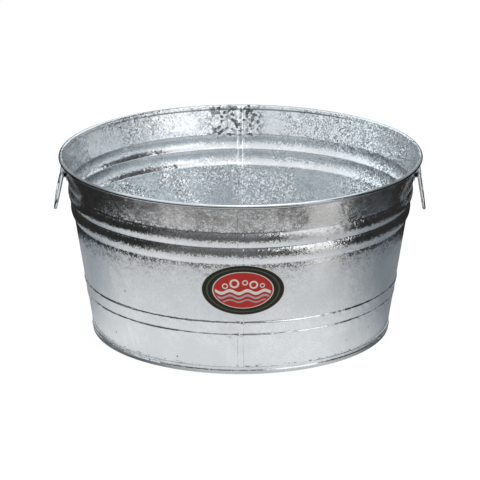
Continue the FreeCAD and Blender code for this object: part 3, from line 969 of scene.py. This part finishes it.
@dataclass
class BottomPan(Piece):
    """Bottom sheet, turned down inside the wall and hemmed up outside it."""

    form: WallForm
    gauge: float = 0.8
    gap: float = 0.06
    floor: float = 12.4
    corner: float = 4.0
    hem_height: float = 11.5
    roll_height: float = 7.4
    roll_rise: float = 0.9
    roll_shoulder: float = 1.9
    middle: float = 12.0
    columns: int = 360
    finish: ZincFinish = ZincFinish("zinc_bottom", tint=(0.77, 0.79, 0.80), shade=0.82, pits=0.7)

    def section(self) -> np.ndarray:
        """Closed section from the middle of the floor round the hem and back."""
        slope = self.form.slope
        base = self.form.base_radius
        inner = base - self.form.sheet - self.gap
        outer = base + self.gap
        top = inner + slope * (self.floor - self.corner)
        hem = outer + slope * self.hem_height
        roll = outer + slope * self.roll_height + self.gauge
        under = self.floor - self.gauge
        upper = [(self.middle, self.floor)]
        upper += [(r, self.floor + self.dish(r)) for r in np.linspace(30, top - 14, 14)]
        upper += [(top, self.floor)]
        upper += [(edge + slope * self.gauge, self.gauge) for edge in (inner, outer)]
        upper += [(hem, self.hem_height)]
        lower = [(hem + self.gauge, self.hem_height), (roll, self.roll_height)]
        lower += [(roll + self.roll_rise, self.roll_height - self.roll_shoulder)]
        lower += [(outer + self.gauge + self.roll_rise, 0.0), (inner - self.gauge, 0.0)]
        lower += [(top - self.gauge, under)]
        lower += [(r, under + self.dish(r)) for r in np.linspace(top - 14, 30, 14)]
        lower += [(self.middle, under)]
        return np.concatenate([round_corners(upper, 0.4, 3), round_corners(lower, 0.5, 3)])

    @staticmethod
    def dish(radius: float) -> float:
        """Slight rings in the floor."""
        return 0.25 * math.sin(radius / 19.0)

    def build(self) -> None:
        """Make the pan and dress it."""
        radius, height = self.section().T
        share = np.clip((radius - 20) / 60, 0, 1) * np.clip((222 - radius) / 40, 0, 1)
        loops = []
        for azimuth in np.arange(self.columns) * 360.0 / self.columns:
            angle = math.radians(azimuth)
            sag = 0.18 * math.sin(3 * angle + 0.7) + 0.1 * math.sin(7 * angle)
            loops.append(on_circle(np.full(len(radius), azimuth), radius, height + sag * share))
        loops = np.array(loops)
        shell = Shell()
        shell.add(loops, disc_faces(loops))
        piece = shell.build("bottom_sheet")
        self.settle(piece, "tub", "bottom_pan", Slot.BOTTOM, self.finish.make())


@dataclass
class HandleMount(Piece):
    """One side's pressed ear and its swinging wire handle."""

    form: WallForm
    side: Side
    lean: float
    pivot_radius: float = 278.9
    pivot_height: float = 259.0
    forward: float = 1.75
    ear_half_length: float = 36.0
    ear_half_height: float = 11.0
    ear_corner: float = 4.0
    plate: float = 1.5
    seat: float = 0.05
    bore: float = 2.8
    blend: float = 1.1
    wire: float = 2.49
    half_top: float = 42.0
    drop: float = 52.5
    flare: float = 20.5
    elbow: float = 6.0
    bend: float = 14.0
    end_gap: float = 3.0
    wire_sides: int = 24

    @property
    def turn(self) -> Matrix:
        """Turn from +X to this side's place."""
        degrees = -self.forward if self.side is Side.RIGHT else 180 + self.forward
        return Matrix.Rotation(math.radians(degrees), 3, "Z")

    def ear_grid(self) -> tuple[np.ndarray, np.ndarray]:
        """Places on the plate, along the hinge line and in height."""
        ends = np.array([0, 0.12, 0.35, 0.7, 1.2, 2, 3, 4]) - self.ear_half_length
        along = np.concatenate([ends, np.linspace(-30, 30, 41), -ends[::-1]])
        share = np.linspace(-1, 1, 61)
        cut = np.clip(np.abs(along) - (self.ear_half_length - self.ear_corner), 0, self.ear_corner)
        height = self.ear_half_height - self.ear_corner + np.sqrt(self.ear_corner**2 - cut**2 + 1e-9)
        return np.meshgrid(along, share, indexing="ij")[0], share[None, :] * height[:, None]

    def add_ear(self, shell: Shell) -> None:
        """Add the plate with its tunnel, as two facing skins joined at the edge."""
        s, t = self.ear_grid()
        z = self.pivot_height + t
        back = self.form.band(z) + self.seat
        plate_face = np.sqrt((back + self.plate) ** 2 - s**2)
        plate_back = np.sqrt(back**2 - s**2)
        arch = self.bore + self.plate
        tunnel = self.pivot_radius + np.sqrt(np.clip(arch**2 - t**2, 0, None))
        tunnel = np.where(np.abs(t) < arch, tunnel, self.pivot_radius - 6)
        hollow = self.pivot_radius + np.sqrt(np.clip(self.bore**2 - t**2, 0, None))
        way = np.where(np.abs(t) < self.bore, hollow, 0)
        gap = np.clip(0.5 + 0.5 * (tunnel - plate_face) / self.blend, 0, 1)
        face = plate_face * (1 - gap) + tunnel * gap + self.blend * gap * (1 - gap) * 0.5
        limit = np.abs(t).max(axis=1, keepdims=True)
        edge = np.minimum(self.ear_half_length - np.abs(s), limit - np.abs(t))
        face -= 0.55 * (1 - np.sqrt(1 - np.clip(1 - edge / 0.9, 0, 1) ** 2))
        inner = np.maximum(plate_back, way)
        skins = np.concatenate([np.stack([skin, s, z], -1).reshape(-1, 3) for skin in (face, inner)])
        rows, columns = s.shape
        index = np.arange(rows * columns).reshape(rows, columns)
        count = rows * columns
        corners = [index[:-1, :-1], index[1:, :-1], index[1:, 1:], index[:-1, 1:]]
        quads = np.stack(corners, -1).reshape(-1, 4)
        rim = np.concatenate([index[:, 0], index[-1, 1:], index[-2::-1, -1], index[0, -2:0:-1]])
        after = np.roll(rim, -1)
        wall = np.stack([rim, after, after + count, rim + count], -1)
        faces = np.concatenate([quads, (quads + count)[:, ::-1], wall])
        shell.add(self.placed(skins), faces)

    def placed(self, points: np.ndarray) -> np.ndarray:
        """Turn points from +X to this side."""
        return points @ np.array(self.turn).T

    def wire_path(self) -> np.ndarray:
        """Middle of the wire along the hinge line and in height, hanging from its hinge line."""
        grip = self.half_top + self.drop * math.tan(math.radians(self.flare))
        end = self.end_gap / 2
        corners = [(end, 0), (self.half_top, 0), (grip, -self.drop), (0, -self.drop)]
        first = round_corners(corners[:3], self.elbow, 12)[:-1]
        second = round_corners(corners[1:], self.bend, 18)[1:]
        half = np.concatenate([first, second])
        mirrored = half[::-1][1:] * (-1, 1)
        return np.concatenate([half, mirrored])

    def add_wire(self, shell: Shell) -> None:
        """Add the bent wire as a round tube with eased ends."""
        path = self.wire_path()
        fine = [path[0]]
        for a, b in zip(path, path[1:]):
            pieces = max(1, int(np.linalg.norm(b - a) / 4))
            fine += [a + (b - a) * (k + 1) / pieces for k in range(pieces)]
        path = np.array(fine)
        run = np.gradient(path, axis=0)
        run /= np.linalg.norm(run, axis=1, keepdims=True)
        across = np.stack([-run[:, 1], run[:, 0]], -1)
        angle = np.arange(self.wire_sides) * math.tau / self.wire_sides
        length = np.concatenate([[0], np.cumsum(np.linalg.norm(np.diff(path, axis=0), axis=1))])
        to_end = np.minimum(length, length[-1] - length)
        radius = self.wire - 0.35 * (1 - np.clip(to_end / 0.35, 0, 1))
        out = np.cos(angle)[None, :] * radius[:, None]
        flat = path[:, None, :] + across[:, None, :] * (np.sin(angle)[None, :] * radius[:, None])[..., None]
        loops = np.stack([out, flat[..., 0], flat[..., 1]], -1)
        tilt = Matrix.Rotation(math.radians(-self.lean), 3, "Y")
        points = loops.reshape(-1, 3) @ np.array(tilt).T + (self.pivot_radius, 0, self.pivot_height)
        faces = ladder(loops, ring=False, ends=False).tolist()
        count = self.wire_sides
        last = (len(path) - 1) * count
        faces += [list(range(count)), list(range(last, last + count))]
        shell.add(self.placed(points), faces)

    def build(self, ear_finish: Material, wire_finish: Material) -> None:
        """Make the ear and the handle and dress them."""
        word = self.side.word
        ear = Shell()
        self.add_ear(ear)
        self.settle(ear.build(word + "_pressed_ear", 50.0), "tub", word + "_ear", Slot.EAR, ear_finish)
        handle = Shell()
        self.add_wire(handle)
        wire = handle.build(word + "_drop_wire")
        self.settle(wire, word + "_drop_handle", word + "_handle", Slot.HANDLE, wire_finish)


@dataclass
class FrontLabel(Piece):
    """Oval label stuck over the front seam."""

    form: WallForm
    printing: LabelPrint = LabelPrint()
    lift: float = 0.05
    paper: float = 0.3
    rings: int = 22
    spokes: int = 144

    def build(self) -> None:
        """Make the label, bent to the wall, and dress it."""
        share = np.concatenate([np.linspace(0.04, 0.96, self.rings), [0.985, 0.995, 1.0]])
        ease = np.concatenate([np.zeros(self.rings), [0.02, 0.07, 0.14]])
        angle = np.arange(self.spokes) * math.tau / self.spokes
        (middle_x, middle_z), (half_x, half_z) = self.printing.centre, self.printing.half
        x = middle_x + half_x * share[None, :] * np.cos(angle)[:, None]
        z = middle_z + half_z * share[None, :] * np.sin(angle)[:, None]
        flat = self.form.profile(z)
        azimuth = FRONT + np.degrees(np.arcsin(x / flat))
        wall = flat + self.form.wave(azimuth, z) + 0.5 * self.form.seam_relief(azimuth, z).clip(0, None)
        strip = self.form.seam_proud * np.exp(-((x / 6.5) ** 2))
        face = wall + strip + self.lift + self.paper - ease[None, :]
        back = wall + strip + self.lift
        loops = np.concatenate([on_circle(azimuth, face, z), on_circle(azimuth, back, z)[:, ::-1]], 1)
        shell = Shell()
        shell.add(loops, disc_faces(loops))
        piece = shell.build("oval_label", 60.0)
        self.settle(piece, "tub", "front_label", Slot.LABEL, self.printing.make())


# The studio


@dataclass(frozen=True)
class Glow:
    """One soft patch of the studio that shiny metal mirrors.

    Azimuth 0 is over the camera at -Y and grows towards +X. Angles are in degrees.
    """

    azimuth: float
    half_width: float
    elevation: float
    half_height: float
    level: float
    tint: Colour = (1.0, 1.0, 1.0)
    soft: float = 6.0


@dataclass(frozen=True)
class Patch:
    """A lit part of the outer floor, as shiny metal mirrors it. Azimuths as in Glow."""

    azimuth: float
    half_width: float
    colour: Colour
    soft: float = 10.0


@dataclass(frozen=True)
class Card:
    """A curved card round the tub. Azimuths as in Glow, lengths in metres."""

    first: float
    last: float
    radius: float
    foot: float
    head: float
    colour: Colour


@dataclass
class Studio:
    """White floor and backdrop, soft lamps, and the room that the metal mirrors."""

    glows: tuple[Glow, ...] = (
        Glow(-2.0, 34.0, -8.0, 22.0, 0.24, (0.95, 0.98, 1.0), soft=9.0),
        Glow(180.0, 110.0, 54.0, 36.0, 1.15, (0.87, 0.95, 1.0), soft=14.0),
        Glow(0.0, 181.0, 90.0, 58.0, 1.15, (0.87, 0.95, 1.0), soft=9.0),
        Glow(48.0, 22.0, 6.0, 34.0, 1.5, soft=5.0),
        Glow(4.0, 66.0, 54.0, 20.0, 1.12, soft=10.0),
        Glow(88.0, 23.0, 29.0, 20.0, 0.05, soft=5.0),
    )
    patches: tuple[Patch, ...] = (
        Patch(-52.0, 14.0, (0.16, 0.155, 0.15), 12.0),
        Patch(-33.0, 11.0, (0.46, 0.44, 0.42), 8.0),
        Patch(-8.0, 13.0, (0.34, 0.325, 0.31), 8.0),
        Patch(19.0, 11.0, (0.28, 0.26, 0.24), 6.0),
        Patch(47.0, 12.0, (0.60, 0.58, 0.55), 7.0),
        Patch(88.0, 21.0, (0.062, 0.066, 0.071), 10.0),
    )
    beyond: tuple[Patch, ...] = (
        Patch(-16.0, 34.0, (0.14, 0.14, 0.14), 14.0),
        Patch(47.0, 11.0, (1.15, 1.14, 1.12), 8.0),
    )
    cards: tuple[Card, ...] = (
        Card(-120.0, 26.0, 0.45, 0.312, 0.6, (0.96, 1.0, 1.03)),
        Card(61.0, 125.0, 0.45, 0.312, 0.365, (0.80, 0.86, 0.90)),
    )
    dark: float = 0.02
    near: float = 0.80
    near_floor: float = 0.514
    far_floor: float = 0.532
    near_tub: Colour = (0.92, 0.935, 0.945)
    near_right: Colour = (0.235, 0.262, 0.285)
    near_left: Colour = (0.37, 0.41, 0.44)
    # Painted shadow: colour of the ring round the tub's foot, as shiny metal mirrors the floor.
    painted_contact_shadow: Colour = (0.05, 0.052, 0.055)
    unlit: Colour = (0.025, 0.024, 0.023)
    floor_size: float = 30.0
    card_steps: int = 24

    def sky(self) -> None:
        """White to the camera; a studio with dark sides and soft boxes to shiny metal."""
        world = bpy.data.worlds.new("studio")
        bpy.context.scene.world = world
        world.use_nodes = True
        nodes = Nodes(world.node_tree)
        way = nodes.add("TexCoord").outputs["Generated"]
        x, y, z = nodes.add("SeparateXYZ", way).outputs
        azimuth = nodes.bearing(x, y)
        elevation = nodes.times(nodes.math("ARCSINE", z), 180 / math.pi)
        room: object = (self.dark, self.dark, self.dark)
        for glow in self.glows:
            turn = nodes.math("WRAP", nodes.math("SUBTRACT", azimuth, glow.azimuth), 180.0, -180.0)
            side = nodes.ease(nodes.math("ABSOLUTE", turn), glow.half_width + glow.soft, glow.half_width)
            rise = nodes.off(elevation, glow.elevation)
            share = nodes.times(side, nodes.ease(rise, glow.half_height + glow.soft, glow.half_height))
            room = nodes.mix(share, room, tuple(c * glow.level for c in glow.tint))
        path = nodes.add("LightPath").outputs
        seen = nodes.math("MAXIMUM", path["Is Camera Ray"], path["Is Transmission Ray"])
        shiny = nodes.mix(path["Is Glossy Ray"], (0.78, 0.78, 0.78), room)
        colour = nodes.mix(seen, shiny, (1.0, 1.0, 1.0))
        nodes.finish(nodes.add("Background", colour, 1.0), "OutputWorld")

    def mirrored_floor(self, nodes: Nodes) -> Socket:
        """The floor as shiny metal mirrors it: bright near the tub but for a painted contact shadow at its
        foot, dark with lit parts far off.
        """
        place = nodes.add("NewGeometry").outputs["Position"]
        away = nodes.measure("DISTANCE", place, (0.0, 0.0, 0.0))
        x, y, _ = nodes.add("SeparateXYZ", place).outputs
        azimuth = nodes.bearing(x, y)
        far = self.ring(nodes, azimuth, self.patches)
        far = nodes.mix(nodes.ease(away, 0.615, 0.65), far, self.ring(nodes, azimuth, self.beyond))
        near: object = (self.near * 0.985, self.near, self.near * 1.01)
        near = nodes.mix(nodes.ease(away, 0.42, 0.29), near, self.near_tub)
        near = nodes.mix(nodes.ease(azimuth, 32.0, 98.0), near, self.near_right)
        near = nodes.mix(nodes.ease(azimuth, -55.0, -110.0), near, self.near_left)
        side = nodes.ease(nodes.off(azimuth, 12.0), 20.0, 55.0, 0.25, 0.85)
        # Painted contact shadow round the tub's foot, weaker in front.
        contact = nodes.times(nodes.ease(away, 0.2505, 0.2425), side)
        near = nodes.mix(contact, near, self.painted_contact_shadow)
        return nodes.mix(nodes.ease(away, self.near_floor, self.far_floor), near, far)

    def floor(self) -> None:
        """White floor that keeps a faint shadow."""
        mesh = bpy.data.meshes.new("floor")
        reach = self.floor_size / 2
        corners = [(-reach, -reach, 0), (reach, -reach, 0), (reach, reach, 0), (-reach, reach, 0)]
        mesh.from_pydata(corners, [], [(0, 1, 2, 3)])
        floor = put("floor", mesh)
        material, nodes = new_material("white_floor")
        white = nodes.add("Emission", (1.0, 1.0, 1.0), 0.90)
        matt = nodes.add("BsdfDiffuse", (0.16, 0.16, 0.16))
        seen = nodes.add("AddShader", white.outputs[0], matt.outputs[0])
        bounce = nodes.add("BsdfDiffuse", (0.8, 0.8, 0.8))
        glint = nodes.add("Emission", self.mirrored_floor(nodes), 1.0)
        path = nodes.add("LightPath").outputs
        hidden = nodes.add("MixShader", path["Is Glossy Ray"], bounce.outputs[0], glint.outputs[0])
        camera = nodes.math("MAXIMUM", path["Is Camera Ray"], path["Is Transmission Ray"])
        nodes.finish(nodes.add("MixShader", camera, hidden.outputs[0], seen.outputs[0]))
        mesh.materials.append(material)

    def ring(self, nodes: Nodes, azimuth: object, patches: tuple[Patch, ...]) -> object:
        """Dark floor with lit parts.

        Args:
            nodes: the tree being made.
            azimuth: direction of the place on the floor, in degrees.
            patches: the lit parts.

        Returns:
            The colour.
        """
        colour: object = self.unlit
        for patch in patches:
            half, soft = patch.half_width, patch.soft / 2
            lit = nodes.ease(nodes.off(azimuth, patch.azimuth), half + soft, half - soft)
            colour = nodes.mix(lit, colour, patch.colour)
        return colour

    def card(self, name: str, card: Card) -> None:
        """Hang a curved glowing card that only shiny surfaces see.

        Args:
            name: name of the card.
            card: its place, size and colour.
        """
        steps = self.card_steps
        turns = np.radians(np.linspace(card.first, card.last, steps + 1))
        x, y = np.sin(turns) * card.radius, -np.cos(turns) * card.radius
        low = np.stack([x, y, np.full(steps + 1, card.foot)], -1)
        high = low + (0, 0, card.head - card.foot)
        mesh = bpy.data.meshes.new(name)
        faces = [(i, i + 1, i + steps + 2, i + steps + 1) for i in range(steps)]
        mesh.from_pydata(np.concatenate([low, high]).tolist(), [], faces)
        material, nodes = new_material(name)
        nodes.finish(nodes.add("Emission", card.colour, 1.0))
        mesh.materials.append(material)
        piece = put(name, mesh)
        for rays in ("camera", "diffuse", "shadow", "transmission"):
            setattr(piece, "visible_" + rays, False)

    def lamp(self, name: str, place: tuple, target: tuple, size: float, power: float) -> None:
        """Add a square soft lamp.

        Args:
            name: name of the lamp.
            place: its middle, in metres.
            target: point that it faces.
            size: length of its side.
            power: watts.
        """
        light = bpy.data.lights.new(name, "AREA")
        light.shape = "SQUARE"
        light.size = size
        light.energy = power
        lamp = put(name, light)
        aim(lamp, place, target)
        lamp.visible_camera = False

    def build(self) -> None:
        """Make the floor, the room and the lamps."""
        self.floor()
        self.sky()
        for number, card in enumerate(self.cards, 1):
            self.card(f"card_{number}", card)
        self.lamp("overhead_lamp", (0.25, -0.35, 1.9), (0.0, 0.0, 0.1), 1.1, 4.2)


@dataclass(frozen=True)
class StudioCamera:
    """The photograph's camera, in metres."""

    place: tuple[float, float, float] = (0.0, -4.008, 1.445)
    target: tuple[float, float, float] = (0.0, 0.0, 0.1375)
    lens: float = 199.03
    shift: float = -0.0013

    def build(self) -> None:
        """Make the camera."""
        data = bpy.data.cameras.new("photo_camera")
        data.lens = self.lens
        data.sensor_width = 36.0
        data.shift_x = self.shift
        data.clip_end = 100.0
        camera = put("photo_camera", data)
        aim(camera, self.place, self.target)
        bpy.context.scene.camera = camera


def dress_rim_wire() -> None:
    """Give the wire inside the rolled rim its zinc."""
    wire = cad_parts["rim_wire"]
    wire.data.materials.clear()
    wire.data.materials.append(ZincFinish("zinc_rim_wire", tint=(0.6, 0.62, 0.64), spangle=0.02).make())
    log.info("rim_wire: kept from the model")


def main() -> None:
    """Build the tub piece by piece, then the studio."""
    logging.basicConfig(level=logging.INFO, format="%(name)s %(message)s")
    bpy.context.scene.view_settings.view_transform = "Standard"
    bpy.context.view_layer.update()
    StudioCamera().build()
    Studio().build()
    form = WallForm()
    WallSheets(form).build()
    BottomPan(form).build()
    ear_finish = ZincFinish("zinc_ear", tint=(0.64, 0.66, 0.68), gloss_low=0.24, gloss_high=0.36).make()
    wire_look = {"gloss_low": 0.16, "gloss_high": 0.26, "grain": 0.05, "spangle": 0.02}
    wire_finish = ZincFinish("zinc_handle_wire", tint=(0.80, 0.81, 0.82), **wire_look).make()
    HandleMount(form, Side.RIGHT, lean=10.0).build(ear_finish, wire_finish)
    HandleMount(form, Side.LEFT, lean=13.0).build(ear_finish, wire_finish)
    FrontLabel(form).build()
    dress_rim_wire()
    bpy.context.view_layer.update()


if __name__ == "__main__":
    main()
